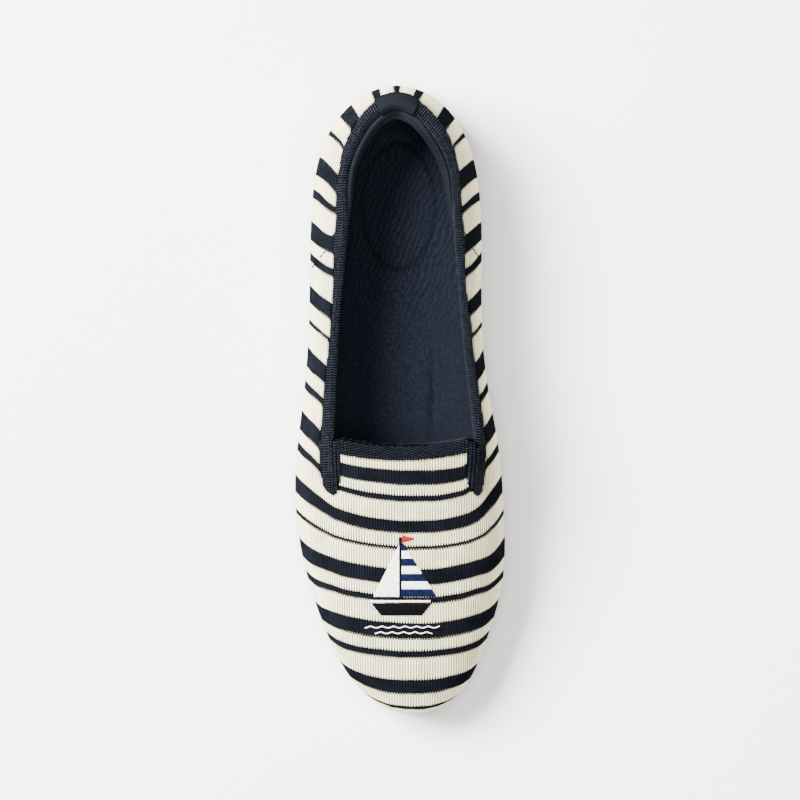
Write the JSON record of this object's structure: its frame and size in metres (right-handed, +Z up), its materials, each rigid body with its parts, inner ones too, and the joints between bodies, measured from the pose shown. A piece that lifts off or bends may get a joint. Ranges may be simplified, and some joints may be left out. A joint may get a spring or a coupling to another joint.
{
  "type": "loafer",
  "caption": "Knitted slip-on loafer for a right foot, with a ribbed collar, a vamp flap between two notches and a thin rubber sole with a low heel.",
  "frame": {"origin": "on the floor, under the middle of the shoe's bounding box", "axes": "+Z up, +Y towards the heel, -Y towards the toe, +X towards the inner side of the foot"},
  "size_m": [0.0846, 0.253, 0.062],
  "materials": {
    "outsole": "matte navy-black rubber",
    "insole": "navy diagonal twill over foam",
    "knit_upper": "fine jacquard knit, cream with navy cross stripes and a navy ribbed collar",
    "heel_collar_pad": "slate brushed lining over foam",
    "heel_tab": "slate microfibre"
  },
  "bodies": {
    "root": {"outsole": "outsole", "insole": "insole", "knit_upper": "knit_upper", "heel_collar_pad": "heel_collar_pad", "heel_tab": "heel_tab"}
  },
  "joints": []
}
